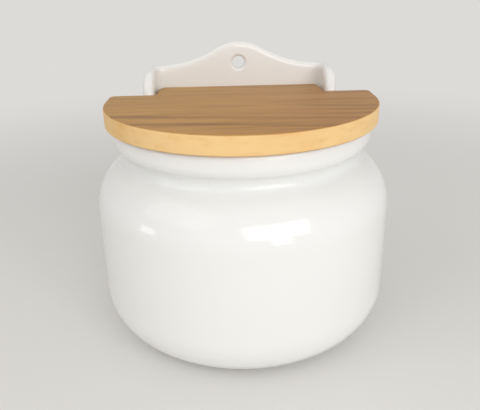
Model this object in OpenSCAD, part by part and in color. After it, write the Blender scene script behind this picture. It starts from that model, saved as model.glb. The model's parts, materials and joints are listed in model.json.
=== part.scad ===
// Glazed ceramic salt box with a hinged wooden lid.
// A round jar is cut flat at the back, where its wall rises into a crested hanging panel.
// The panel turns forward into two cheeks, and the lid's tongue turns on a pin in each cheek.
// Sections are drawn round the jar's axis; the origin is the middle of the footprint, on the
// standing face, with +Z up and +Y towards the wall that the box hangs on.

/* [Jar] */
// Widest diameter of the jar
body_d = 150; // [144:1:160]
// Height of the rim that carries the lid
rim_z = 110.1; // [104:0.1:120]
// Diameter at the bottom of the neck groove
neck_d = 117.6; // [114:0.2:122]
// Height of the rim above the middle of the neck groove
rim_h = 15; // [12:0.2:18]
// How far the rim stands out beyond the neck groove
rim_flare = 5.8; // [3.6:0.2:7]
// Radius of the fillet in the neck groove
neck_fillet = 4; // [2.4:0.2:6]
// Radius of the rounded underside of the rim
bead_r = 6; // [6:0.2:8]
// Radius of the rim's rounded top edges
lip_r = 1.8; // [1:0.2:2.4]
// Radius of the rounded shoulder
shoulder_r = 25; // [20:1:30]
// Radius of the rounded heel
heel_r = 24; // [16:0.5:28]
// Thickness of the ceramic wall
wall = 5.4; // [4.6:0.2:6]
// Radius of the upright edges where the round wall meets the flat back
back_edge_r = 7; // [3:0.5:10]
// Radius of the heel along the bottom of the flat back
back_heel_r = 9; // [5:0.5:12]

/* [Foot and mouth] */
// Width of the unglazed foot ring
foot_w = 6; // [4:0.5:8]
// Depth of the recess inside the foot ring
foot_recess = 1.4; // [0.8:0.2:2]
// Width of the seat under the straight back edge of the lid
seat_w = 6; // [4:0.5:8]
// Radius of the back corners of the mouth
mouth_corner = 8; // [4:1:12]

/* [Lid] */
// Thickness of the lid board
lid_t = 9.1; // [7.5:0.1:10]
// How far the lid overhangs the rim
lid_overhang = 3.2; // [2:0.2:5]
// Distance from the jar's axis back to the straight edge of the lid
lid_back = 14; // [10:0.5:16]
// Radius of the lid's back corners, seen from above
lid_corner = 3; // [2:0.5:7]
// Radius that eases the edges of the board
ease = 0.9; // [0.5:0.1:1.4]
// Gap between the rim and the closed lid
lid_seat_gap = 0.25; // [0.2:0.05:0.4]
// Gap between each side of the tongue and its cheek
tongue_gap = 1.3; // [0.8:0.1:2]
// Radius of the tongue's rear edges, above and below
tongue_round = 2.2; // [1.5:0.1:3]
// Radius of the tongue's rear corners, seen from above
tongue_corner = 3; // [2:0.5:5]

/* [Hinge] */
// Distance from the jar's axis back to the hinge pins
pin_y = 30.3; // [28:0.1:32]
// Diameter of a hinge pin
pin_d = 3; // [2.5:0.1:3.5]
// Depth of a hinge pin in the tongue
pin_hold = 16; // [10:1:22]
// Depth of a pin's outer end below the face of its cheek
pin_inset = 0.6; // [0.2:0.1:1.2]
// Chamfer on the ends of a pin
pin_chamfer = 0.4; // [0.2:0.1:0.6]
// Distance from the pins back to the rear edge of the tongue
pin_to_rear = 5; // [4.5:0.1:6]
// Running clearance round a pin in its cheek
pin_clear = 0.08; // [0.05:0.01:0.1]
// Glue line round a pin in the tongue
pin_glue = 0.02; // [0.01:0.01:0.05]

/* [Back panel and cheeks] */
// Distance between the inner faces of the cheeks
cheek_span = 90.4; // [84:0.2:94]
// Thickness of a cheek
cheek_t = 6.1; // [5:0.1:6.6]
// Gap between the lid's straight edge and the front of a cheek
cheek_gap = 0.5; // [0.4:0.1:1]
// Thickness of the back panel
panel_t = 6; // [5:0.2:7]
// Gap between the panel and the turning rear edge of the tongue
panel_gap = 0.5; // [0.4:0.1:1]
// Gap between the ledge behind the mouth and the turning rear edge of the tongue
trough_gap = 0.3; // [0.2:0.05:0.35]
// Height of the crest above the cheeks
crest_h = 12.2; // [8:0.1:16]
// Radius of the crest's round top
crest_r = 25; // [20:1:30]
// Radius of the hollow sweep on each side of the crest
sweep_r = 64; // [50:1:76]
// Radius of the panel's top corners
corner_r = 5.5; // [5:0.5:10]
// Radius of the rolled edges of the panel and cheeks
edge_r = 2.4; // [1:0.1:2.4]
// Radius of the fillet between panel and cheek
inner_fillet = 4; // [2:0.5:4.5]
// Diameter of the hanging hole
hang_d = 6.5; // [5:0.1:8]
// Distance from the top of the crest down to the middle of the hanging hole
hang_drop = 11.2; // [9:0.2:14]
// Radius of the soft edge round the hanging hole
hang_lip = 1.5; // [0.8:0.1:2]

/* [Hidden] */
$fn = 96;
// Overlap where one arc runs into the next
overlap = 0.004;
body_r = body_d / 2;
neck_r = neck_d / 2;
rim_r = neck_r + rim_flare;
mouth_r = rim_r - wall;
lid_r = rim_r + lid_overhang;

// Centres of the arcs that make the jar's section, each touching the next
neck_c = [neck_r + neck_fillet, rim_z - rim_h];
bead_c = [rim_r - bead_r,
          neck_c[1] + sqrt(pow(bead_r + neck_fillet, 2) - pow(neck_c[0] - rim_r + bead_r, 2))];
shoulder_c = [body_r - shoulder_r,
              neck_c[1] - sqrt(pow(shoulder_r + neck_fillet, 2)
                               - pow(neck_c[0] - body_r + shoulder_r, 2))];
heel_c = [body_r - heel_r, heel_r];

// Heights of the lid and its hinge
lid_z = rim_z + lid_seat_gap;
pin_z = lid_z + lid_t / 2;
tongue_w = cheek_span - 2 * tongue_gap;
tongue_y = pin_y + pin_to_rear;
// Radius that the tongue's rounded rear edges reach as they turn
tongue_reach = norm([pin_to_rear - tongue_round, lid_t / 2 - tongue_round]) + tongue_round;

// The cheeks are quarter-rounds about the pins, so that the lid's straight edge clears them
cheek_front = lid_back + cheek_gap;
cheek_r = pin_y - cheek_front;
cheek_top = pin_z + cheek_r;
cheek_out = cheek_span / 2 + cheek_t;
panel_y = pin_y + tongue_reach + panel_gap;
back_y = panel_y + panel_t;
crest_z = cheek_top + crest_h;
hang_z = crest_z - hang_drop;

// Centres of the crest, the right corner and the right sweep, which touches both
crest_c = [0, crest_z - crest_r];
corner_c = [cheek_out - corner_r, cheek_top - corner_r];
span = norm(corner_c - crest_c);
run = (corner_c - crest_c) / span;
along = (pow(crest_r + sweep_r, 2) - pow(corner_r + sweep_r, 2) + span * span) / (2 * span);
rise = sqrt(pow(crest_r + sweep_r, 2) - along * along);
sweep_c = crest_c + along * run + rise * [-run[1], run[0]];

// Distance that brings the footprint's middle to the origin
axis_y = (body_r - back_y) / 2;

// Puts a piece that is drawn round the jar's axis in the part's frame
module placed() { translate([0, axis_y, 0]) children(); }

// Extrudes an outline in X and Z from y = from, for a length towards +Y
module along_y(from, length) {
    translate([0, from + length, 0]) rotate([90, 0, 0]) linear_extrude(length) children();
}

// Extrudes an outline in Y and Z from x = from, for a length towards +X
module along_x(from, length) {
    translate([from, 0, 0]) rotate([90, 0, 90]) linear_extrude(length) children();
}

// What a straight back with rounded corners takes off a disc, seen from above
module back_waste(r, back, corner) {
    cy = back - corner;
    cx = sqrt(pow(r - corner, 2) - cy * cy);
    far = 2 * r;
    translate([-far, back]) square([2 * far, far]);
    for (side = [-1, 1]) difference() {
        polygon([[side * cx, cy], [side * far, far * cy / cx], [side * far, far], [side * cx, far]]);
        translate([side * cx, cy]) circle(corner + overlap);
    }
}

// Disc seen from above, cut straight at y = back, with rounded corners
module d_plan(r, back, corner) {
    difference() {
        circle(r, $fn = 2 * $fn);
        back_waste(r, back, corner);
    }
}

// Solid with that plan, whose edge has the section that the child draws from $start to $reach
module d_solid(r, back, corner) {
    cy = back - corner;
    cx = sqrt(pow(r - corner, 2) - cy * cy);
    far = 2 * r;
    difference() {
        rotate_extrude($fn = 2 * $fn) let ($start = 0, $reach = r) children();
        translate([0, 0, -far]) linear_extrude(2 * far) {
            polygon([[0, 0], [far, far * cy / cx], [far, far], [-far, far], [-far, far * cy / cx]]);
        }
    }
    along_x(-cx, 2 * cx) let ($start = min(0, cy), $reach = back) children();
    for (side = [-1, 1]) translate([side * cx, cy, 0]) {
        rotate_extrude() let ($start = 0, $reach = corner) children();
    }
}

// Section of a slab of thickness t, rounded on both faces where it ends
module slab_section(start, end, t, r) {
    translate([start, 0]) square([end - r - start, t]);
    translate([start, r]) square([end - start, t - 2 * r]);
    for (z = [r, t - r]) translate([end - r, z]) circle(r);
}

// Half of the section of a hole through a slab, with soft edges on both faces
module hole_section(r, t, lip) {
    translate([0, -1]) square([r, t + 2]);
    for (face = [0, 1]) translate([0, face * t]) mirror([0, face]) difference() {
        translate([0, -1]) square([r + lip, lip + 1]);
        translate([r + lip, lip]) circle(lip);
    }
}

// Turns a section about an axis that runs along Y from the front of the panel
module in_panel(centre) {
    translate([centre[0], panel_y, centre[1]]) rotate([-90, 0, 0]) rotate_extrude() children();
}

// Half of the jar's section up to a height, drawn in from the outside by an inset
module jar_section(inset, top) {
    difference() {
        union() {
            translate([0, inset]) square([heel_c[0], shoulder_c[1] - inset]);
            translate([0, heel_c[1]]) square([body_r - inset, shoulder_c[1] - heel_c[1]]);
            translate(heel_c) circle(heel_r - inset);
            translate(shoulder_c) circle(shoulder_r - inset);
            polygon([[0, shoulder_c[1]], shoulder_c, neck_c, bead_c, [0, bead_c[1]]]);
            translate(bead_c) circle(bead_r - inset);
            translate([0, bead_c[1]]) square([rim_r - inset, top - bead_c[1]]);
        }
        translate(neck_c) circle(neck_fillet + inset + overlap);
        translate([-body_r, 0]) square([body_r, top]);
    }
}

// Corner between two straight sides that a round edge takes off
module edge_waste(r) {
    difference() {
        square(r + 1);
        circle(r + overlap);
    }
}

module jar_outside() {
    intersection() {
        difference() {
            rotate_extrude($fn = 2 * $fn) difference() {
                jar_section(0, rim_z);
                translate([rim_r - lip_r, rim_z - lip_r]) edge_waste(lip_r);
            }
            translate([0, 0, -1]) linear_extrude(rim_z + 2) back_waste(body_r, back_y, back_edge_r);
        }
        along_x(-body_r - 1, body_d + 2) side_outline();
    }
}

// Side view of the jar's block, rounded only along the bottom of its flat back
module side_outline() {
    translate([-body_r - 1, 0]) square([body_r + 1 + back_y - back_heel_r, rim_z + 1]);
    translate([0, back_heel_r]) square([back_y, rim_z + 1 - back_heel_r]);
    translate([back_y - back_heel_r, back_heel_r]) circle(back_heel_r);
}

// Space for the salt, with its roof behind the mouth
module jar_inside() {
    difference() {
        rotate_extrude($fn = 2 * $fn) jar_section(wall, rim_z - wall);
        linear_extrude(rim_z) back_waste(body_r - wall, panel_y, back_edge_r - wall / 2);
    }
}

// Section of the mouth, a bore with a round lip, from the roof of the jar up
module mouth_section() {
    translate([$start, -1]) square([$reach - $start, wall + 2]);
    translate([$reach + lip_r, wall - lip_r]) mirror([1, 0]) edge_waste(lip_r);
}

module mouth() {
    translate([0, 0, rim_z - wall]) d_solid(mouth_r, lid_back - seat_w, mouth_corner) mouth_section();
}

// Panel with rolled edges, in sectors that meet where one arc runs into the next
module panel(bottom) {
    translate([0, panel_y, bottom]) linear_extrude(corner_c[1] - bottom) for (side = [0, 1]) {
        mirror([side, 0]) slab_section(0, cheek_out, panel_t, edge_r);
    }
    // Round crest
    intersection() {
        in_panel(crest_c) slab_section(0, crest_r, panel_t, edge_r);
        along_y(panel_y, panel_t) polygon([crest_c, sweep_c, [-sweep_c[0], sweep_c[1]]]);
    }
    for (side = [0, 1]) mirror([side, 0, 0]) {
        // Hollow sweep
        difference() {
            along_y(panel_y, panel_t) polygon([crest_c, sweep_c, corner_c]);
            in_panel(sweep_c, $fn = 3 * $fn) hole_section(sweep_r, panel_t, edge_r);
        }
        // Round corner
        intersection() {
            in_panel(corner_c) slab_section(0, corner_r, panel_t, edge_r);
            along_y(panel_y, panel_t) polygon([
                corner_c, sweep_c, [2 * cheek_out, sweep_c[1]], [2 * cheek_out, corner_c[1]]]);
        }
    }
}

// Front view of the round corners that the cheeks share with the panel
module shoulders_outline(bottom) {
    translate([-cheek_out, bottom]) square([2 * cheek_out, corner_c[1] - bottom]);
    translate([-corner_c[0], bottom]) square([2 * corner_c[0], cheek_top - bottom]);
    for (side = [-1, 1]) translate([side * corner_c[0], corner_c[1]]) circle(corner_r);
}

// Cheek that starts at x: a quarter-round about the pin, with rolled edges, run back to the panel
module cheek(x, bottom) {
    translate([x, pin_y, pin_z]) rotate([0, 90, 0]) {
        rotate_extrude() slab_section(0, cheek_r, cheek_t, edge_r);
    }
    translate([x, pin_y, bottom]) linear_extrude(pin_z - bottom) rotate(-90) {
        slab_section(0, cheek_r, cheek_t, edge_r);
    }
    along_y(pin_y, back_y - pin_y) translate([x, pin_z]) mirror([1, -1]) {
        slab_section(0, cheek_r, cheek_t, edge_r);
    }
    along_x(x, cheek_t) translate([pin_y, bottom]) square([back_y - pin_y, pin_z - bottom]);
}

// Fillet between the panel and the right cheek, rolled over at the top
module inner_corner(bottom) {
    reach = inner_fillet + edge_r;
    translate([cheek_span / 2 - inner_fillet, panel_y - inner_fillet, 0]) difference() {
        translate([0, 0, bottom]) cube([reach, reach, cheek_top - bottom]);
        rotate_extrude() {
            translate([0, bottom - 1]) square([inner_fillet, cheek_top - bottom + 2]);
            translate([reach, cheek_top - edge_r]) mirror([1, 0]) edge_waste(edge_r);
        }
    }
}

module back_wall() {
    seat = rim_z - wall;
    panel(shoulder_c[1]);
    intersection() {
        along_y(0, panel_y + panel_t / 2) shoulders_outline(seat);
        union() {
            cheek(cheek_span / 2, seat);
            cheek(-cheek_out, seat);
            for (side = [0, 1]) mirror([side, 0, 0]) inner_corner(seat);
        }
    }
}

// Hole through the panel, with soft edges front and back
module hanging_hole() {
    in_panel([0, hang_z]) hole_section(hang_d / 2, panel_t, hang_lip);
}

// Straight bore or pin along the hinge axis, from one x to another
module hinge_rod(r, x0, x1) {
    translate([x0, pin_y, pin_z]) rotate([0, 90, 0]) cylinder(r = r, h = x1 - x0);
}

module jar() {
    color("whitesmoke") placed() difference() {
        union() {
            jar_outside();
            back_wall();
        }
        jar_inside();
        mouth();
        hanging_hole();
        // Hollow that the rear edge of the tongue turns in
        hinge_rod(tongue_reach + trough_gap, -cheek_span / 2, cheek_span / 2);
        for (side = [-1, 1]) {
            hinge_rod(pin_d / 2 + pin_clear, side * (cheek_span + cheek_t) / 2 - cheek_t / 2 - 1,
                      side * (cheek_span + cheek_t) / 2 + cheek_t / 2 + 1);
        }
        translate([0, 0, -1]) linear_extrude(foot_recess + 1) {
            d_plan(heel_c[0] - foot_w, back_y - back_heel_r - foot_w, back_edge_r);
        }
    }
}

// Front of the lid: half a disc whose sides run straight back to round corners
module half_moon() {
    inner = lid_r - lid_corner;
    intersection() {
        rotate_extrude($fn = 2 * $fn) slab_section(0, lid_r, lid_t, ease);
        along_y(-lid_r, lid_r) translate([-lid_r, 0]) square([2 * lid_r, lid_t]);
    }
    along_y(0, lid_back - lid_corner) for (side = [0, 1]) {
        mirror([side, 0]) slab_section(0, lid_r, lid_t, ease);
    }
    along_x(-inner, 2 * inner) slab_section(0, lid_back, lid_t, ease);
    for (side = [-1, 1]) translate([side * inner, lid_back - lid_corner]) {
        rotate_extrude() slab_section(0, lid_corner, lid_t, ease);
    }
}

// Tongue that runs back between the cheeks
module tongue() {
    intersection() {
        along_x(-tongue_w / 2, tongue_w) slab_section(0, tongue_y, lid_t, tongue_round);
        along_y(0, tongue_y) for (side = [0, 1]) mirror([side, 0]) {
            slab_section(0, tongue_w / 2, lid_t, ease);
        }
        linear_extrude(lid_t) {
            translate([-tongue_w / 2, 0]) square([tongue_w, tongue_y - tongue_corner]);
            translate([tongue_corner - tongue_w / 2, 0]) square([tongue_w - 2 * tongue_corner, tongue_y]);
            for (side = [-1, 1]) {
                translate([side * (tongue_w / 2 - tongue_corner), tongue_y - tongue_corner]) {
                    circle(tongue_corner);
                }
            }
        }
    }
}

module lid_board() {
    color("burlywood") placed() difference() {
        translate([0, 0, lid_z]) {
            half_moon();
            tongue();
        }
        for (side = [-1, 1]) {
            hinge_rod(pin_d / 2 + pin_glue, side * (tongue_w / 2 - pin_hold / 2 + 1) - pin_hold / 2 - 1,
                      side * (tongue_w / 2 - pin_hold / 2 + 1) + pin_hold / 2 + 1);
        }
    }
}

// Steel pin from just inside the face of a cheek to its seat in the tongue
module hinge_pin(side) {
    length = cheek_out - pin_inset - tongue_w / 2 + pin_hold;
    color("silver") placed() translate([side * (tongue_w / 2 - pin_hold), pin_y, pin_z]) {
        rotate([0, side * 90, 0]) rotate_extrude() polygon([
            [0, 0], [pin_d / 2 - pin_chamfer, 0], [pin_d / 2, pin_chamfer],
            [pin_d / 2, length - pin_chamfer], [pin_d / 2 - pin_chamfer, length], [0, length]]);
    }
}

module hinge_pin_left() { hinge_pin(-1); }

module hinge_pin_right() { hinge_pin(1); }

jar();
lid_board();
hinge_pin_left();
hinge_pin_right();
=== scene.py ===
"""Dressed model of a glazed ceramic salt box with a hinged wooden lid.

The jar is one glazed piece: a round body, flat at the back, whose wall rises into a crested
hanging panel and two cheeks. The lid is one board that turns on two steel pins in the cheeks.
All lengths are in metres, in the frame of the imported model: +Z up, +Y towards the wall.
"""

from __future__ import annotations

import json
import logging
import math
from dataclasses import dataclass
from enum import Enum
from typing import Callable, Iterable, Sequence, Union

import bmesh
import bpy
from mathutils import Matrix, Vector

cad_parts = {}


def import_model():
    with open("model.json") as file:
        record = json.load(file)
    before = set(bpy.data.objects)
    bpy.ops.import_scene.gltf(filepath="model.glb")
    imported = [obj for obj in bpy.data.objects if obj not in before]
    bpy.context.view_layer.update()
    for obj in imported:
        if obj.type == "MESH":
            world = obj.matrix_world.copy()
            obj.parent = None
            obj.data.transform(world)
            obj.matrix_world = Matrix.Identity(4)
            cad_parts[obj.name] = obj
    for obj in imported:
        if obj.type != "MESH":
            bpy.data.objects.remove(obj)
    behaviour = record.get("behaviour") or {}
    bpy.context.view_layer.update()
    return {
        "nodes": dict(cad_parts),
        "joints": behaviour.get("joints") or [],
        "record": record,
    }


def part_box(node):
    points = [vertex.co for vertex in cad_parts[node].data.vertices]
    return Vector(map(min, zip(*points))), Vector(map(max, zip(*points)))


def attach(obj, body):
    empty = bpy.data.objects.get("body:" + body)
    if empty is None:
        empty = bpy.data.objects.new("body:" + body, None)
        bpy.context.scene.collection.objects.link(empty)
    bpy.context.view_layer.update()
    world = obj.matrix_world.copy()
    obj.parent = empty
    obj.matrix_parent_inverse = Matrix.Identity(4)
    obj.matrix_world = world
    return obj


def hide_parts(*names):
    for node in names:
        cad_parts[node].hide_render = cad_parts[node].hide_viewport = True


LOG = logging.getLogger("salt_box")
MM = 0.001
HAIR = 0.001 * MM

Point = tuple[float, float]
Colour = tuple[float, float, float]


class Side(Enum):
    """The two sides of the box, as seen from the front."""

    LEFT = -1
    RIGHT = 1


class Plane(Enum):
    """The planes that outlines are drawn in."""

    ABOVE = "XY"
    FRONT = "XZ"
    SIDE = "YZ"

    def at(self, point: Point, depth: float) -> Vector:
        """Place of a drawn point, at a depth across the plane.

        Args:
            point: The point as it is drawn.
            depth: Distance along the axis that the plane doesn't hold.

        Returns:
            The point in space.
        """
        u, v = point
        if self is Plane.ABOVE:
            return Vector((u, v, depth))
        if self is Plane.FRONT:
            return Vector((u, depth, v))
        return Vector((depth, u, v))


def arc(centre: Point, radius: float, start: float, end: float, steps: int) -> list[Point]:
    """Points along an arc, both ends included.

    Args:
        centre: The arc's centre.
        radius: The arc's radius.
        start: Angle of the first point, in degrees.
        end: Angle of the last point, in degrees.
        steps: Number of equal steps between them.

    Returns:
        The points in order.
    """
    angles = (math.radians(start + (end - start) * i / steps) for i in range(steps + 1))
    return [(centre[0] + radius * math.cos(a), centre[1] + radius * math.sin(a)) for a in angles]


def bearing(centre: Point, target: Point) -> float:
    """Angle in degrees of the line from one point to another."""
    return math.degrees(math.atan2(target[1] - centre[1], target[0] - centre[0]))


def mirrored(points: Sequence[Point]) -> list[Point]:
    """A right half of an outline, with its left half added in order."""
    return list(points) + [(-u, v) for u, v in reversed(points) if abs(u) > 1e-7]


def prism(outline: Sequence[Point], plane: Plane, start: float, end: float) -> bmesh.types.BMesh:
    """Solid with straight sides over an outline.

    Args:
        outline: Corners of the outline, in order.
        plane: The plane that it is drawn in.
        start: Depth of its first face.
        end: Depth of its second face.

    Returns:
        The closed solid.
    """
    bm = bmesh.new()
    base = bm.faces.new([bm.verts.new(plane.at(p, start)) for p in outline])
    grown = bmesh.ops.extrude_face_region(bm, geom=[base])["geom"]
    lifted = [g for g in grown if isinstance(g, bmesh.types.BMVert)]
    bmesh.ops.translate(bm, verts=lifted, vec=plane.at((0, 0), end) - plane.at((0, 0), start))
    bmesh.ops.recalc_face_normals(bm, faces=bm.faces)
    return bm


def rolled(bm: bmesh.types.BMesh, radius: float, chosen: Callable[[Vector], bool]) -> bmesh.types.BMesh:
    """Rounds edges of a solid.

    Args:
        bm: The solid.
        radius: Radius of the rounding.
        chosen: Says of a point whether the edges between such points are rounded.

    Returns:
        The same solid.
    """
    edges = [edge for edge in bm.edges if all(chosen(v.co) for v in edge.verts)]
    bmesh.ops.bevel(bm, geom=edges, offset=radius, offset_type="OFFSET", segments=6, profile=0.5,
                    affect="EDGES", clamp_overlap=False, material=-1)
    bmesh.ops.remove_doubles(bm, verts=bm.verts, dist=HAIR)
    bmesh.ops.recalc_face_normals(bm, faces=bm.faces)
    return bm


def turned(section: Sequence[Point], steps: int) -> bmesh.types.BMesh:
    """Solid of revolution about the Z axis.

    Args:
        section: Radius and height of each point, from the axis round to the axis.
        steps: Number of steps in the full turn.

    Returns:
        The closed solid.
    """
    bm = bmesh.new()
    verts = [bm.verts.new((r, 0, z)) for r, z in section]
    edges = [bm.edges.new(pair) for pair in zip(verts, verts[1:])]
    bmesh.ops.spin(bm, geom=verts + edges, cent=(0, 0, 0), axis=(0, 0, 1),
                   angle=2 * math.pi, steps=steps, use_merge=True)
    bmesh.ops.remove_doubles(bm, verts=bm.verts, dist=0.001 * MM)
    bmesh.ops.recalc_face_normals(bm, faces=bm.faces)
    return bm


class Work:
    """A mesh on the bench: it is cut, joined and finished until it is a piece."""

    def __init__(self, name: str, bm: bmesh.types.BMesh) -> None:
        """Makes an object of a bmesh, which is used up.

        Args:
            name: Name of the object.
            bm: Its mesh.
        """
        mesh = bpy.data.meshes.new(name)
        bm.to_mesh(mesh)
        bm.free()
        self.obj = bpy.data.objects.new(name, mesh)
        bpy.context.scene.collection.objects.link(self.obj)

    def modify(self, kind: str, **settings: object) -> Work:
        """Adds a modifier and applies it.

        Args:
            kind: Type of the modifier.
            settings: Its settings.

        Returns:
            The same work.
        """
        modifier = self.obj.modifiers.new(kind.title(), kind)
        for key, value in settings.items():
            setattr(modifier, key, value)
        graph = bpy.context.evaluated_depsgraph_get()
        shaped = bpy.data.meshes.new_from_object(self.obj.evaluated_get(graph))
        used = self.obj.data
        self.obj.modifiers.clear()
        self.obj.data = shaped
        bpy.data.meshes.remove(used)
        shaped.name = self.obj.name
        return self

    def combine(self, other: Work, operation: str) -> Work:
        """Joins, cuts or trims this work with another one, which is used up.

        Args:
            other: The second solid.
            operation: UNION, DIFFERENCE or INTERSECT.

        Returns:
            The same work.
        """
        self.modify("BOOLEAN", object=other.obj, operation=operation, solver="MANIFOLD")
        other.discard()
        return self

    def discard(self) -> None:
        """Removes the object and its mesh."""
        mesh = self.obj.data
        bpy.data.objects.remove(self.obj)
        bpy.data.meshes.remove(mesh)

    def open(self) -> bmesh.types.BMesh:
        """The mesh as a bmesh."""
        bm = bmesh.new()
        bm.from_mesh(self.obj.data)
        return bm

    def close(self, bm: bmesh.types.BMesh) -> Work:
        """Writes a bmesh back, and frees it."""
        bm.to_mesh(self.obj.data)
        bm.free()
        return self

    def soften(self, rounds: int) -> Work:
        """Smooths the whole mesh.

        Args:
            rounds: Number of passes.

        Returns:
            The same work.
        """
        bm = self.open()
        for _ in range(rounds):
            bmesh.ops.smooth_vert(bm, verts=bm.verts, factor=0.5, use_axis_x=True,
                                  use_axis_y=True, use_axis_z=True)
        return self.close(bm)

    def shift(self, offset: Vector) -> Work:
        """Moves the mesh."""
        self.obj.data.transform(Matrix.Translation(offset))
        return self

    def smooth(self, sharpest: float) -> Work:
        """Shades the faces smooth, up to an angle in degrees between them."""
        self.obj.data.polygons.foreach_set("use_smooth", [True] * len(self.obj.data.polygons))
        self.obj.data.set_sharp_from_angle(angle=math.radians(sharpest))
        return self

    def thin(self, most: int, kept: Callable[[Vector], bool]) -> Work:
        """Thins the mesh to a number of triangles, and keeps the shading of the finer one.

        Args:
            most: Largest number of triangles.
            kept: Says of a point whether the mesh stays fine there.

        Returns:
            The same work.
        """
        share = most / self.triangles()
        if share >= 1:
            return self
        fine = bpy.data.objects.new("fine", self.obj.data.copy())
        bpy.context.scene.collection.objects.link(fine)
        loose = self.obj.vertex_groups.new(name="loose")
        loose.add([v.index for v in self.obj.data.vertices if not kept(v.co)], 1.0, "REPLACE")
        self.modify("DECIMATE", decimate_type="COLLAPSE", ratio=share, vertex_group=loose.name)
        self.obj.vertex_groups.clear()
        self.modify("DATA_TRANSFER", object=fine, use_loop_data=True,
                    data_types_loops={"CUSTOM_NORMAL"}, loop_mapping="POLYINTERP_NEAREST")
        mesh = fine.data
        bpy.data.objects.remove(fine)
        bpy.data.meshes.remove(mesh)
        return self

    def dress(self, material: bpy.types.Material) -> Work:
        """Gives the whole piece one material."""
        self.obj.data.materials.clear()
        self.obj.data.materials.append(material)
        return self

    def triangles(self) -> int:
        """Number of triangles in the mesh."""
        return sum(len(p.vertices) - 2 for p in self.obj.data.polygons)


@dataclass(frozen=True)
class JarSizes:
    """Sizes of the ceramic jar, and the arcs of its section that follow from them."""

    body_r: float
    rim_z: float = 110.1 * MM
    neck_r: float = 58.8 * MM
    rim_h: float = 15 * MM
    rim_flare: float = 5.8 * MM
    neck_fillet: float = 4 * MM
    bead_r: float = 6 * MM
    lip_r: float = 1.8 * MM
    shoulder_r: float = 25 * MM
    heel_r: float = 24 * MM
    wall: float = 5.4 * MM
    foot_w: float = 6 * MM
    foot_recess: float = 1.4 * MM
    back_edge_r: float = 7 * MM
    back_heel_r: float = 9 * MM
    mouth_corner: float = 8 * MM
    seat_w: float = 6 * MM

    @property
    def rim_r(self) -> float:
        """Radius of the rim."""
        return self.neck_r + self.rim_flare

    @property
    def neck_c(self) -> Point:
        """Centre of the fillet in the neck groove."""
        return (self.neck_r + self.neck_fillet, self.rim_z - self.rim_h)

    @property
    def bead_c(self) -> Point:
        """Centre of the rim's rounded underside, which touches the neck fillet."""
        x = self.rim_r - self.bead_r
        rise = math.sqrt((self.bead_r + self.neck_fillet) ** 2 - (self.neck_c[0] - x) ** 2)
        return (x, self.neck_c[1] + rise)

    @property
    def shoulder_c(self) -> Point:
        """Centre of the shoulder, which touches the neck fillet."""
        x = self.body_r - self.shoulder_r
        drop = math.sqrt((self.shoulder_r + self.neck_fillet) ** 2 - (self.neck_c[0] - x) ** 2)
        return (x, self.neck_c[1] - drop)

    @property
    def heel_c(self) -> Point:
        """Centre of the rounded heel."""
        return (self.body_r - self.heel_r, self.heel_r)

    def section(self, inset: float, top: float, lip: float) -> list[Point]:
        """Half of the jar's section, from the axis at the bottom to the axis at the top.

        Args:
            inset: Distance that the section is drawn in from the outside.
            top: Height at which it closes.
            lip: Radius of its top edge.

        Returns:
            Points as radius and height.
        """
        to_neck = bearing(self.shoulder_c, self.neck_c)
        to_bead = bearing(self.neck_c, self.bead_c)
        edge = self.rim_r - inset
        points = [(0.0, inset)]
        points += arc(self.heel_c, self.heel_r - inset, -90, 0, 24)
        points += arc(self.shoulder_c, self.shoulder_r - inset, 0, to_neck, 24)
        points += arc(self.neck_c, self.neck_fillet + inset, to_neck + 180, to_bead, 16)[1:]
        points += arc(self.bead_c, self.bead_r - inset, to_bead - 180, 0, 12)[1:]
        points += arc((edge - lip, top - lip), lip, 0, 90, 8) if lip else [(edge, top)]
        return points + [(0.0, top)]


@dataclass(frozen=True)
class LidSizes:
    """Sizes of the lid board and of the hinge that it turns on."""

    hinge_y: float
    hinge_z: float
    base_z: float
    thickness: float
    radius: float
    back: float = 14 * MM
    corner: float = 3 * MM
    ease: float = 0.9 * MM
    tongue_half: float = 43.9 * MM
    tongue_end: float = 35.3 * MM
    tongue_corner: float = 3 * MM
    tongue_round: float = 2.2 * MM


@dataclass(frozen=True)
class PanelSizes:
    """Sizes of the back panel and the two cheeks."""

    back_y: float
    crest_z: float
    hang_z: float
    hang_r: float
    hinge_y: float
    hinge_z: float
    thickness: float = 6 * MM
    cheek_half: float = 45.2 * MM
    cheek_t: float = 6.1 * MM
    cheek_front: float = 14.5 * MM
    crest_r: float = 25 * MM
    sweep_r: float = 64 * MM
    corner_r: float = 5.5 * MM
    edge_r: float = 2.4 * MM
    inner_fillet: float = 4 * MM
    hang_lip: float = 2.2 * MM
    trough_r: float = 6.155 * MM
    pin_bore_r: float = 1.58 * MM

    @property
    def panel_y(self) -> float:
        """Distance from the jar's axis back to the front of the panel."""
        return self.back_y - self.thickness

    @property
    def cheek_r(self) -> float:
        """Radius of a cheek's quarter-round about the hinge."""
        return self.hinge_y - self.cheek_front

    @property
    def cheek_top(self) -> float:
        """Height of the cheeks."""
        return self.hinge_z + self.cheek_r

    @property
    def outer(self) -> float:
        """Distance from the middle to the outer face of a cheek."""
        return self.cheek_half + self.cheek_t


def flat_backed(radius: float, back: float, corner: float, far: float) -> list[Point]:
    """Outline, seen from above, that trims a disc straight at the back with round corners.

    Args:
        radius: Radius of the disc.
        back: Distance from the disc's centre back to the straight side.
        corner: Radius of the corners.
        far: Distance out to the outline's own edges, clear of the disc.

    Returns:
        The outline's corners.
    """
    cy = back - corner
    cx = math.sqrt((radius - corner) ** 2 - cy * cy)
    turn = math.degrees(math.atan2(cy, cx))
    return mirrored([(far, -far), (far, far * cy / cx)] + arc((cx, cy), corner, turn, 90, 12))


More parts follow.
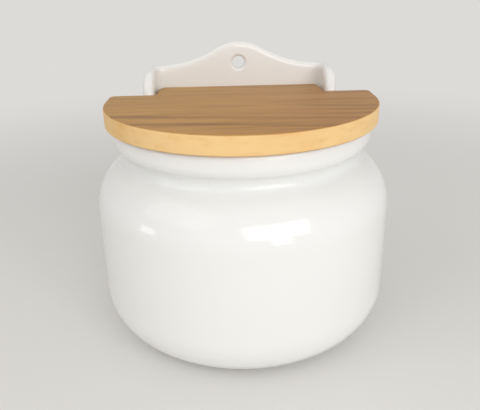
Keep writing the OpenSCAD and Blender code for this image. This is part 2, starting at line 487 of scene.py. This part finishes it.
class Jar:
    """The glazed jar with its panel and cheeks, made as one soft-edged shell."""

    FAR = 200 * MM
    TURN_STEPS = 256
    GRAIN = 0.9 * MM
    SOFT_ROUNDS = 5
    MOST_TRIANGLES = 185_000
    LIP_DIP = 0.15 * MM

    def __init__(self, jar: JarSizes, panel: PanelSizes, lid: LidSizes, axis_y: float) -> None:
        """Keeps the sizes that the shell is made from.

        Args:
            jar: Sizes of the round body.
            panel: Sizes of the panel and cheeks.
            lid: Sizes of the lid that the mouth and the trough follow.
            axis_y: Place of the jar's axis in the frame.
        """
        self.jar = jar
        self.panel = panel
        self.lid = lid
        self.axis_y = axis_y

    def body(self) -> Work:
        """Outside of the body, flat at the back."""
        j, p = self.jar, self.panel
        work = Work("jar_glaze", turned(j.section(0, j.rim_z, j.lip_r), self.TURN_STEPS))
        plan = flat_backed(j.body_r, p.back_y, j.back_edge_r, self.FAR)
        work.combine(Work("plan", prism(plan, Plane.ABOVE, -self.FAR, self.FAR)), "INTERSECT")
        heel = [(-self.FAR, -self.FAR)] + [(p.back_y - j.back_heel_r, -self.FAR)]
        heel += arc((p.back_y - j.back_heel_r, j.back_heel_r), j.back_heel_r, -90, 0, 12)
        heel += [(p.back_y, self.FAR), (-self.FAR, self.FAR)]
        return work.combine(Work("heel", prism(heel, Plane.SIDE, -self.FAR, self.FAR)), "INTERSECT")

    def crest(self) -> list[Point]:
        """Outline of the panel and cheeks, seen from the front."""
        j, p = self.jar, self.panel
        top = Vector((0.0, p.crest_z - p.crest_r))
        corner = Vector((p.outer - p.corner_r, p.cheek_top - p.corner_r))
        span, run = (corner - top).length, (corner - top).normalized()
        to_top, to_corner = p.crest_r + p.sweep_r, p.corner_r + p.sweep_r
        along = (to_top ** 2 - to_corner ** 2 + span ** 2) / (2 * span)
        rise = math.sqrt(to_top ** 2 - along ** 2)
        sweep = top + run * along + Vector((-run.y, run.x)) * rise
        points = [(p.outer, j.shoulder_c[1])]
        points += arc(corner, p.corner_r, 0, bearing(corner, sweep), 12)
        points += arc(sweep, p.sweep_r, bearing(sweep, corner), bearing(sweep, top), 24)[1:]
        points += arc(top, p.crest_r, bearing(top, sweep), 90, 20)[1:]
        return mirrored(points)

    def cheek(self, bottom: float) -> list[Point]:
        """Outline of a cheek, seen from the side."""
        p = self.panel
        rear = (p.back_y - p.edge_r, p.cheek_top - p.edge_r)
        points = [(p.back_y, bottom)] + arc(rear, p.edge_r, 0, 90, 6)
        points += arc((p.hinge_y, p.hinge_z), p.cheek_r, 90, 180, 24)
        return points + [(p.cheek_front, bottom)]

    def wall(self) -> Work:
        """The panel and the two cheeks, as one solid."""
        j, p = self.jar, self.panel
        seat = j.rim_z - j.wall
        crest = self.crest()
        slab = rolled(prism(crest, Plane.FRONT, p.panel_y, p.back_y), p.edge_r,
                      lambda point: min(abs(point.y - p.panel_y), abs(point.y - p.back_y)) < HAIR)
        work = Work("wall", slab)
        for side in Side:
            spans = sorted((side.value * p.cheek_half, side.value * p.outer))
            slab = rolled(prism(self.cheek(seat), Plane.SIDE, *spans), p.edge_r,
                          lambda point: min(abs(point.x - s) for s in spans) < HAIR)
            cheek = Work("cheek", slab)
            trim = Work("trim", prism(crest, Plane.FRONT, 0, p.back_y + MM))
            work.combine(cheek.combine(trim, "INTERSECT"), "UNION")
            work.combine(self.inner_corner(side, seat), "UNION")
        return work

    def inner_corner(self, side: Side, seat: float) -> Work:
        """Fillet between the panel and a cheek, with its top rolled as theirs are."""
        p, r, s = self.panel, self.panel.inner_fillet, side.value
        centre = (s * (p.cheek_half - r), p.panel_y - r)
        far = (s * (p.cheek_half + p.edge_r), p.panel_y + p.edge_r)
        outline = [(centre[0] + s * u, centre[1] + v) for u, v in arc((0, 0), r, 0, 90, 10)]
        outline += [(centre[0], far[1]), far, (far[0], centre[1])]
        bm = prism(outline, Plane.ABOVE, seat, p.cheek_top)
        return Work("corner", rolled(bm, p.edge_r, lambda point: point.z > p.cheek_top - HAIR and
                                     abs(math.dist(point.xy, centre) - r) < HAIR))

    def hollow(self) -> Work:
        """Space for the salt."""
        j, p = self.jar, self.panel
        top = j.rim_z - j.wall
        space = Work("space", turned(j.section(j.wall, top, 0), self.TURN_STEPS))
        plan = flat_backed(j.body_r - j.wall, p.panel_y, j.back_edge_r - j.wall / 2, self.FAR)
        return space.combine(Work("plan", prism(plan, Plane.ABOVE, -self.FAR, self.FAR)), "INTERSECT")

    def mouth(self) -> Work:
        """Opening under the lid: a disc with a straight back."""
        j = self.jar
        low, high = j.rim_z - j.wall - MM, j.rim_z + MM
        r, back = j.rim_r - j.wall, self.lid.back - j.seat_w
        disc = Work("mouth", turned([(0, low), (r, low), (r, high), (0, high)], self.TURN_STEPS))
        plan = flat_backed(r, back, j.mouth_corner, self.FAR)
        return disc.combine(Work("plan", prism(plan, Plane.ABOVE, -self.FAR, self.FAR)), "INTERSECT")

    def trough(self) -> Work:
        """Hollow in the ledge that the rear edge of the tongue turns in."""
        p = self.panel
        outline = arc((p.hinge_y, p.hinge_z), p.trough_r, 0, 360, 48)[1:]
        return Work("trough", prism(outline, Plane.SIDE, -p.cheek_half, p.cheek_half))

    def foot(self) -> Work:
        """Recess inside the foot ring."""
        j, p = self.jar, self.panel
        r, back = j.heel_c[0] - j.foot_w, p.back_y - j.back_heel_r - j.foot_w
        disc = Work("foot", turned([(0, -MM), (r, -MM), (r, j.foot_recess), (0, j.foot_recess)],
                                   self.TURN_STEPS))
        plan = flat_backed(r, back, j.back_edge_r, self.FAR)
        return disc.combine(Work("plan", prism(plan, Plane.ABOVE, -self.FAR, self.FAR)), "INTERSECT")

    def hanging_hole(self) -> Work:
        """Cutter for the hole through the panel, with its soft edges."""
        p, lip, out = self.panel, self.panel.hang_lip, 3 * MM
        wide, sunk = p.hang_r + lip, lip - self.LIP_DIP
        points = [(0.0, -out), (wide, -out)]
        points += arc((wide, sunk), lip, -90, -180, 12)
        points += arc((wide, p.thickness - sunk), lip, 180, 90, 12)
        points += [(wide, p.thickness + out), (0.0, p.thickness + out)]
        hole = Work("hole", turned(points, 96))
        turn = Matrix.Rotation(math.radians(-90), 4, "X")
        hole.obj.data.transform(Matrix.Translation((0, p.panel_y, p.hang_z)) @ turn)
        return hole

    def pin_bore(self, side: Side) -> Work:
        """Cutter for the bore that a hinge pin turns in."""
        p = self.panel
        outline = arc((p.hinge_y, p.hinge_z), p.pin_bore_r, 0, 360, 40)[1:]
        spans = sorted((side.value * (p.cheek_half - MM), side.value * (p.outer + MM)))
        return Work("bore", prism(outline, Plane.SIDE, *spans))

    def on_wall(self, point: Vector) -> bool:
        """Whether a point lies on the panel or the cheeks."""
        p = self.panel
        return point.z > self.jar.rim_z + MM and point.y > p.cheek_front - MM

    def build(self) -> Work:
        """Makes the shell.

        Returns:
            The finished shell, in the frame.
        """
        work = self.body().combine(self.wall(), "UNION")
        for cutter in (self.hollow(), self.mouth(), self.trough(), self.foot()):
            work.combine(cutter, "DIFFERENCE")
        work.modify("REMESH", mode="VOXEL", voxel_size=self.GRAIN)
        work.soften(self.SOFT_ROUNDS)
        work.combine(self.hanging_hole(), "DIFFERENCE")
        for side in Side:
            work.combine(self.pin_bore(side), "DIFFERENCE")
        work.smooth(50).thin(self.MOST_TRIANGLES, self.on_wall)
        LOG.info("jar shell has %d triangles", work.triangles())
        return work.shift(Vector((0, self.axis_y, 0)))


class LidBoard:
    """The wooden board: a half-moon with a tongue that runs back between the cheeks."""

    WEIGHTS = "bevel_weight_edge"
    BORE_R = 1.52 * MM
    PIN_HOLD = 16 * MM

    def __init__(self, lid: LidSizes, axis_y: float) -> None:
        """Keeps the board's sizes.

        Args:
            lid: Sizes of the board.
            axis_y: Place of the jar's axis in the frame.
        """
        self.lid = lid
        self.axis_y = axis_y

    def outline(self) -> list[Point]:
        """The board seen from above."""
        s = self.lid
        points = arc((0, 0), s.radius, -90, 0, 90)
        points += arc((s.radius - s.corner, s.back - s.corner), s.corner, 0, 90, 10)
        points += [(s.tongue_half, s.back)]
        inner = (s.tongue_half - s.tongue_corner, s.tongue_end - s.tongue_corner)
        points += arc(inner, s.tongue_corner, 0, 90, 8)
        return mirrored(points)

    def build(self) -> Work:
        """Makes the board.

        Returns:
            The finished board, in the frame.
        """
        s = self.lid
        bm = prism(self.outline(), Plane.ABOVE, s.base_z, s.base_z + s.thickness)
        weights = bm.edges.layers.float.new(self.WEIGHTS)
        for edge in bm.edges:
            if abs(edge.verts[0].co.z - edge.verts[1].co.z) > MM:
                continue
            rear = min(v.co.y for v in edge.verts) > s.tongue_end - s.tongue_corner - 0.1 * MM
            edge[weights] = 1 if rear else s.ease / s.tongue_round
        work = Work("lid_wood", bm)
        work.modify("BEVEL", limit_method="WEIGHT", width=s.tongue_round, segments=6, profile=0.5)
        for side in Side:
            ends = sorted((side.value * (s.tongue_half - self.PIN_HOLD), side.value * (s.tongue_half + MM)))
            ring = arc((s.hinge_y, s.hinge_z), self.BORE_R, 0, 360, 40)[1:]
            work.combine(Work("bore", prism(ring, Plane.SIDE, *ends)), "DIFFERENCE")
        LOG.info("lid board has %d triangles", work.triangles())
        return work.smooth(35).shift(Vector((0, self.axis_y, 0)))


Operand = Union["Signal", float]


class Signal:
    """One value in a material, on which arithmetic adds the Math nodes that work it out."""

    def __init__(self, board: Board, socket: bpy.types.NodeSocket) -> None:
        """Wraps a socket of a material's board."""
        self.board = board
        self.socket = socket

    def math(self, operation: str, *operands: Operand, clamp: bool = False) -> Signal:
        """One Math node that starts from this value.

        Args:
            operation: The node's operation.
            operands: The values that follow this one.
            clamp: Whether the result is held between 0 and 1.

        Returns:
            The result.
        """
        settings = {"operation": operation, "use_clamp": clamp}
        return self.board.add("ShaderNodeMath", settings, self, *operands)[0]

    def __add__(self, other: Operand) -> Signal:
        """Sum."""
        return self.math("ADD", other)

    def __mul__(self, other: Operand) -> Signal:
        """Product."""
        return self.math("MULTIPLY", other)

    def __sub__(self, other: Operand) -> Signal:
        """Difference."""
        return self.math("SUBTRACT", other)

    def __rsub__(self, other: float) -> Signal:
        """A number less this value."""
        return self.board.number("SUBTRACT", other, self)

    def __truediv__(self, other: Operand) -> Signal:
        """Quotient."""
        return self.math("DIVIDE", other)

    def __pow__(self, other: Operand) -> Signal:
        """Power."""
        return self.math("POWER", other)

    __radd__ = __add__
    __rmul__ = __mul__

    def ramp(self, low: float, high: float) -> Signal:
        """Smooth step from 0 to 1 as this value goes from low to high."""
        settings = {"interpolation_type": "SMOOTHSTEP"}
        return self.board.add("ShaderNodeMapRange", settings, self, low, high, 0.0, 1.0)[0]


class Board:
    """The node board of one material, or of the world."""

    def __init__(self, name: str, world: Union[bpy.types.World, None] = None) -> None:
        """Starts a board with only its output.

        Args:
            name: Name of the material.
            world: The world that the board is for, if it isn't for a material.
        """
        self.owner = world or bpy.data.materials.new(name)
        self.owner.use_nodes = True
        self.tree = self.owner.node_tree
        self.tree.nodes.clear()
        kind = "ShaderNodeOutputWorld" if world else "ShaderNodeOutputMaterial"
        self.output = self.tree.nodes.new(kind)

    def add(self, kind: str, settings: dict[str, object], *inputs: object,
            **named: object) -> list[Signal]:
        """Adds a node.

        Args:
            kind: Type of the node.
            settings: Its settings, which are made before its inputs.
            inputs: Values or links of its first inputs, in order; None leaves one as it is.
            named: Values or links of its inputs by name, with _ for a space.

        Returns:
            Its enabled outputs.
        """
        node = self.tree.nodes.new(kind)
        for key, value in settings.items():
            setattr(node, key, value)
        sockets = [s for s in node.inputs if s.enabled]
        pairs = list(zip(sockets, inputs))
        pairs += [(node.inputs[key.replace("_", " ")], value) for key, value in named.items()]
        for socket, value in pairs:
            if isinstance(value, Signal):
                self.tree.links.new(value.socket, socket)
            elif value is not None:
                socket.default_value = value
        return [Signal(self, s) for s in node.outputs if s.enabled]

    def number(self, operation: str, *operands: Operand) -> Signal:
        """One Math node that may start from a plain number."""
        return self.add("ShaderNodeMath", {"operation": operation}, *operands)[0]

    def place(self) -> tuple[Signal, Signal, Signal, Signal]:
        """Place of the shaded point on the piece.

        Returns:
            The whole vector, then its X, Y and Z in metres.
        """
        vector = self.add("ShaderNodeTexCoord", {})[3]
        x, y, z = self.add("ShaderNodeSeparateXYZ", {}, vector)
        return vector, x, y, z

    def stretched(self, vector: Signal, scale: tuple[float, float, float]) -> Signal:
        """A vector scaled along each axis."""
        return self.add("ShaderNodeVectorMath", {"operation": "MULTIPLY"}, vector, scale)[0]

    def noise(self, vector: Signal, scale: float, detail: float, roughness: float = 0.5) -> Signal:
        """Soft noise between 0 and 1."""
        return self.add("ShaderNodeTexNoise", {}, Vector=vector, Scale=scale, Detail=detail,
                        Roughness=roughness)[0]

    def blend(self, factor: Operand, first: Union[Signal, Colour],
              second: Union[Signal, Colour]) -> Signal:
        """Mix of two colours.

        Args:
            factor: Share of the second colour.
            first: The first colour.
            second: The second colour.

        Returns:
            The mixed colour.
        """
        pair = [c if isinstance(c, Signal) else (*c, 1.0) for c in (first, second)]
        settings = {"data_type": "RGBA", "clamp_factor": True}
        return self.add("ShaderNodeMix", settings, factor, *pair)[0]

    def bump(self, height: Signal, distance: float, strength: float,
             normal: Union[Signal, None] = None) -> Signal:
        """Normal from a height between 0 and 1.

        Args:
            height: The height.
            distance: Real depth of the relief.
            strength: Strength of the effect.
            normal: A normal that it adds to.

        Returns:
            The bumped normal.
        """
        return self.add("ShaderNodeBump", {}, Strength=strength, Distance=distance, Height=height,
                        Normal=normal)[0]

    def finish(self, **inputs: object) -> bpy.types.Material:
        """Ends the board in one Principled shader.

        Args:
            inputs: Values or links of the shader's inputs by name.

        Returns:
            The material.
        """
        self.end(self.add("ShaderNodeBsdfPrincipled", {}, **inputs))
        return self.owner

    def end(self, shader: Sequence[Signal]) -> None:
        """Ends the board in a shader node's outputs."""
        self.tree.links.new(shader[0].socket, self.output.inputs["Surface"])


@dataclass(frozen=True)
class WhiteGlaze:
    """Glossy white glaze, greyed in the groove by painted shade that also stands for thicker glaze there,
    and wiped off the foot ring.
    """

    groove_z: float
    white: Colour = (0.855, 0.85, 0.835)
    # grey of the painted shade in the neck groove, partly standing for thicker glaze
    pooled: Colour = (0.79, 0.8, 0.79)
    bare: Colour = (0.66, 0.58, 0.48)

    def material(self) -> bpy.types.Material:
        """Builds the material.

        Returns:
            The glaze.
        """
        board = Board("white_glaze")
        vector, x, y, z = board.place()
        # painted shade: a greyer band along the neck groove, where shade falls, mixed with random cloudy
        # tone
        groove = 1 - (z - self.groove_z).math("ABSOLUTE").ramp(1.2 * MM, 6 * MM)
        cloud = board.noise(vector, 22, 2)
        groove_shade_and_cloud = groove * 0.5 + cloud * 0.3
        foot = 1 - z.ramp(0.35 * MM, 0.75 * MM)
        colour = board.blend(foot, board.blend(groove_shade_and_cloud, self.white, self.pooled), self.bare)
        wave = board.noise(vector, 26, 1, 0.35)
        grit = board.noise(vector, 1400, 2)
        rolled = board.bump(wave, 0.35 * MM, 0.35)
        normal = board.bump(grit * foot, 0.3 * MM, 0.7, rolled)
        return board.finish(Base_Color=colour, Roughness=0.07 + foot * 0.6 + cloud * 0.05,
                            Normal=normal)


@dataclass(frozen=True)
class GrowthRing:
    """One dark ring that crosses the face of the lid, measured across the grain."""

    across: float
    half_width: float
    depth: float
    starts: float = -80 * MM
    fade: float = 25 * MM


@dataclass(frozen=True)
class LacquerWood:
    """Light wood under a thin satin lacquer, with its grain nearly along the width of the lid."""

    base_z: float
    thickness: float
    axis_y: float
    slant: float = 0.1
    honey: Colour = (0.55, 0.295, 0.08)
    brown: Colour = (0.46, 0.22, 0.066)
    streak: Colour = (0.24, 0.105, 0.032)
    # edge colours are lighter than the face colours: partly the wood's own tone, partly painted light, with
    # the front edge lit and the top in shade
    edge: Colour = (0.86, 0.585, 0.27)
    edge_deep: Colour = (0.72, 0.4, 0.11)
    rings: tuple[GrowthRing, ...] = (
        GrowthRing(-15.5 * MM, 1.1 * MM, 0.9, 14 * MM),
        GrowthRing(-22.5 * MM, 1.4 * MM, 0.45, 20 * MM),
        GrowthRing(-30.5 * MM, 1.2 * MM, 0.35, -40 * MM),
        GrowthRing(-39.3 * MM, 2.4 * MM, 0.55),
        GrowthRing(-51.6 * MM, 2.2 * MM, 0.5),
        GrowthRing(-59 * MM, 1.5 * MM, 0.3, -30 * MM),
    )

    def ring_shade(self, board: Board, x: Signal, across: Signal) -> Signal:
        """Darkness of the growth rings.

        Args:
            board: The material's board.
            x: Place along the width.
            across: Place across the grain.

        Returns:
            0 on clear wood, more on a ring.
        """
        shade = None
        for ring in self.rings:
            line = 1 - (across - ring.across).math("ABSOLUTE").ramp(0, 2 * ring.half_width)
            part = line * x.ramp(ring.starts, ring.starts + ring.fade) * ring.depth
            shade = part if shade is None else shade.math("MAXIMUM", part)
        return shade

    def material(self) -> bpy.types.Material:
        """Builds the material.

        Returns:
            The wood.
        """
        board = Board("lacquer_wood")
        vector, x, y, z = board.place()
        drift = board.noise(board.stretched(vector, (14.0, 30.0, 1.0)), 1, 2) - 0.5
        across = y - self.axis_y + x * self.slant + drift * (6 * MM)
        fibre = board.stretched(vector, (1.0, 24.0, 24.0))
        fine = board.noise(fibre, 34, 4, 0.7)
        figure = board.noise(board.stretched(vector, (1.0, 17.0, 17.0)), 13, 4, 0.68)
        broad = board.noise(board.stretched(vector, (1.0, 9.0, 9.0)), 12, 3, 0.55)
        pores = board.noise(fibre, 110, 2, 0.6).ramp(0.56, 0.7)
        lines = self.ring_shade(board, x, across)
        tone = x.ramp(-35 * MM, 55 * MM) * 0.65 + broad.ramp(0.35, 0.7) * 0.35
        # partly painted light: flat picks the top and bottom faces, and the sides get the lighter edge
        # colours
        depth = (z - (self.base_z + self.thickness / 2)).math("ABSOLUTE")
        flat = depth.ramp(self.thickness / 2 - 0.6 * MM, self.thickness / 2 - 0.1 * MM)
        shade = lines * (0.4 + fine * 0.6) + fine.ramp(0.4, 0.72) * 0.3 + pores * 0.14
        shade = shade + figure.ramp(0.46, 0.68) * 0.36
        face = board.blend(shade, board.blend(tone, self.honey, self.brown), self.streak)
        mottle = board.noise(board.stretched(vector, (1.0, 1.0, 3.0)), 95, 4, 0.6)
        patch = board.noise(vector, 26, 2)
        side = board.blend(mottle.ramp(0.45, 0.8) * 0.45 + patch.ramp(0.45, 0.75) * 0.4,
                           self.edge, self.edge_deep)
        height = fine * 0.5 + pores * 0.5
        normal = board.bump(height, 0.06 * MM, 0.4)
        return board.finish(Base_Color=board.blend(flat, side, face), Normal=normal,
                            Roughness=0.42 + fine * 0.14, Specular_IOR_Level=0.35)


@dataclass(frozen=True)
class PinSteel:
    """Drawn steel of the hinge pins, scored along their length."""

    tone: Colour = (0.62, 0.61, 0.59)

    def material(self) -> bpy.types.Material:
        """Builds the material.

        Returns:
            The steel.
        """
        board = Board("pin_steel")
        vector, x, y, z = board.place()
        scores = board.noise(board.stretched(vector, (1.0, 60.0, 60.0)), 40, 3)
        colour = board.blend(scores * 0.4, self.tone, (0.4, 0.39, 0.37))
        normal = board.bump(scores, 0.02 * MM, 0.4)
        return board.finish(Base_Color=colour, Metallic=1.0, Roughness=0.22 + scores * 0.2,
                            Normal=normal)


@dataclass(frozen=True)
class Studio:
    """Camera, lamps, floor and backdrop."""

    axis_y: float
    lens: float = 42.67
    camera_at: tuple[float, float, float] = (-7.42 * MM, -283.5 * MM, 180.05 * MM)
    heading: float = -1.1848
    tilt: float = 22.668
    roll: float = -1.207
    floor_size: float = 6.0
    floor_fade: tuple[float, float] = (0.22, 0.7)
    pale: Colour = (0.72, 0.71, 0.69)
    floor_pale: Colour = (0.8, 0.79, 0.77)
    fill: float = 0.76

    def camera(self) -> None:
        """Sets the camera at the photograph's viewing angle."""
        heading, tilt, roll = (math.radians(a) for a in (self.heading, self.tilt, self.roll))
        ahead = Vector((-math.sin(heading) * math.cos(tilt), math.cos(heading) * math.cos(tilt),
                        -math.sin(tilt)))
        level = Vector((math.cos(heading), math.sin(heading), 0))
        upward = level.cross(ahead)
        across = level * math.cos(roll) + upward * math.sin(roll)
        upright = upward * math.cos(roll) - level * math.sin(roll)
        data = bpy.data.cameras.new("camera")
        data.sensor_width = 36
        data.lens = self.lens
        data.clip_start = 0.01
        camera = bpy.data.objects.new("camera", data)
        place = Vector(self.camera_at) + Vector((0, self.axis_y, 0))
        turn = Matrix((across, upright, -ahead)).transposed().to_4x4()
        camera.matrix_world = Matrix.Translation(place) @ turn
        bpy.context.scene.collection.objects.link(camera)
        bpy.context.scene.camera = camera

    def lamp(self, name: str, azimuth: float, elevation: float, distance: float,
             size: tuple[float, float], power: float) -> None:
        """Adds a soft box that faces the object.

        Args:
            name: Name of the lamp.
            azimuth: Its direction, from the front towards the right, in degrees.
            elevation: Its height above the horizon, in degrees.
            distance: Its distance from the middle of the object.
            size: Its width and height.
            power: Its power in watts.
        """
        a, e = math.radians(azimuth), math.radians(elevation)
        out = Vector((math.sin(a) * math.cos(e), -math.cos(a) * math.cos(e), math.sin(e)))
        data = bpy.data.lights.new(name, "AREA")
        data.shape = "RECTANGLE"
        data.size, data.size_y = size
        data.energy = power
        lamp = bpy.data.objects.new(name, data)
        lamp.location = Vector((0, 0, 0.08)) + out * distance
        lamp.rotation_mode = "QUATERNION"
        lamp.rotation_quaternion = (-out).to_track_quat("-Z", "Y")
        lamp.visible_camera = False
        bpy.context.scene.collection.objects.link(lamp)

    def world(self) -> None:
        """Lights the scene evenly, with a pale backdrop that gloss shows too."""
        board = Board("studio", bpy.data.worlds.new("studio"))
        strength = self.seen(board) * (1 - self.fill) + self.fill
        board.end(board.add("ShaderNodeBackground", {}, (*self.pale, 1.0), strength))
        bpy.context.scene.world = board.owner

    @staticmethod
    def seen(board: Board) -> Signal:
        """1 where the camera, gloss or glass looks, and 0 for the light that falls on things."""
        path = board.add("ShaderNodeLightPath", {})
        rays = {ray.socket.name: ray for ray in path}
        gloss = rays["Is Glossy Ray"].math("MAXIMUM", rays["Is Transmission Ray"])
        return rays["Is Camera Ray"].math("MAXIMUM", gloss)

    def floor(self) -> None:
        """Adds the plain pale floor, which runs into the backdrop far from the object."""
        bm = bmesh.new()
        bmesh.ops.create_grid(bm, x_segments=1, y_segments=1, size=self.floor_size / 2)
        floor = Work("floor", bm).obj
        board = Board("pale_floor")
        vector = board.place()[0]
        far = board.add("ShaderNodeVectorMath", {"operation": "LENGTH"}, vector)[0]
        near = board.add("ShaderNodeBsdfDiffuse", {}, (*self.floor_pale, 1.0))[0]
        away = board.add("ShaderNodeEmission", {}, (*self.pale, 1.0), 1.0)[0]
        share = far.ramp(*self.floor_fade) * self.seen(board)
        board.end(board.add("ShaderNodeMixShader", {}, share, near, away))
        floor.data.materials.append(board.owner)

    def build(self) -> None:
        """Sets up the whole studio."""
        bpy.context.scene.view_settings.view_transform = "Standard"
        self.camera()
        self.world()
        self.floor()
        self.lamp("window", 24, 21, 1.1, (0.96, 0.55), 4.9)
        self.lamp("window_foot", 25, 1, 0.6, (0.14, 0.12), 0.19)
        self.lamp("room", -60, 40, 1.3, (1.2, 0.8), 2.4)
        self.lamp("ceiling", 0, 86, 1.6, (2.4, 2.4), 3)
        self.lamp("side", -72, 0, 0.6, (0.13, 0.1), 0.11)


def main() -> None:
    """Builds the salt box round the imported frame."""
    logging.basicConfig(level=logging.INFO)
    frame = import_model()
    record = frame["record"]
    jar_low, jar_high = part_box("jar")
    lid_low, lid_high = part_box("lid_board")
    axis_y = jar_low.y + jar_high.x
    hinge = frame["joints"][0]["pos_m"]
    hole = next(m for m in record["mounts"] if m["name"] == "hanging_hole")
    jar = JarSizes(body_r=jar_high.x)
    lid = LidSizes(hinge_y=hinge[1] - axis_y, hinge_z=hinge[2], base_z=lid_low.z,
                   thickness=lid_high.z - lid_low.z, radius=lid_high.x)
    panel = PanelSizes(back_y=jar_high.y - axis_y, crest_z=jar_high.z, hang_z=hole["pos_m"][2],
                       hang_r=hole["dims"]["r_mm"] * MM, hinge_y=lid.hinge_y, hinge_z=lid.hinge_z)

    Studio(axis_y).build()
    shell = Jar(jar, panel, lid, axis_y).build()
    shell.dress(WhiteGlaze(jar.neck_c[1]).material())
    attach(shell.obj, "jar")
    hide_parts("jar")

    board = LidBoard(lid, axis_y).build()
    board.dress(LacquerWood(lid.base_z, lid.thickness, axis_y).material())
    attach(board.obj, "lid")
    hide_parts("lid_board")

    steel = PinSteel().material()
    for name in ("hinge_pin_left", "hinge_pin_right"):
        pin = frame["nodes"][name]
        pin.data.materials.clear()
        pin.data.materials.append(steel)
        LOG.info("%s is dressed", name)


if __name__ == "__main__":
    main()
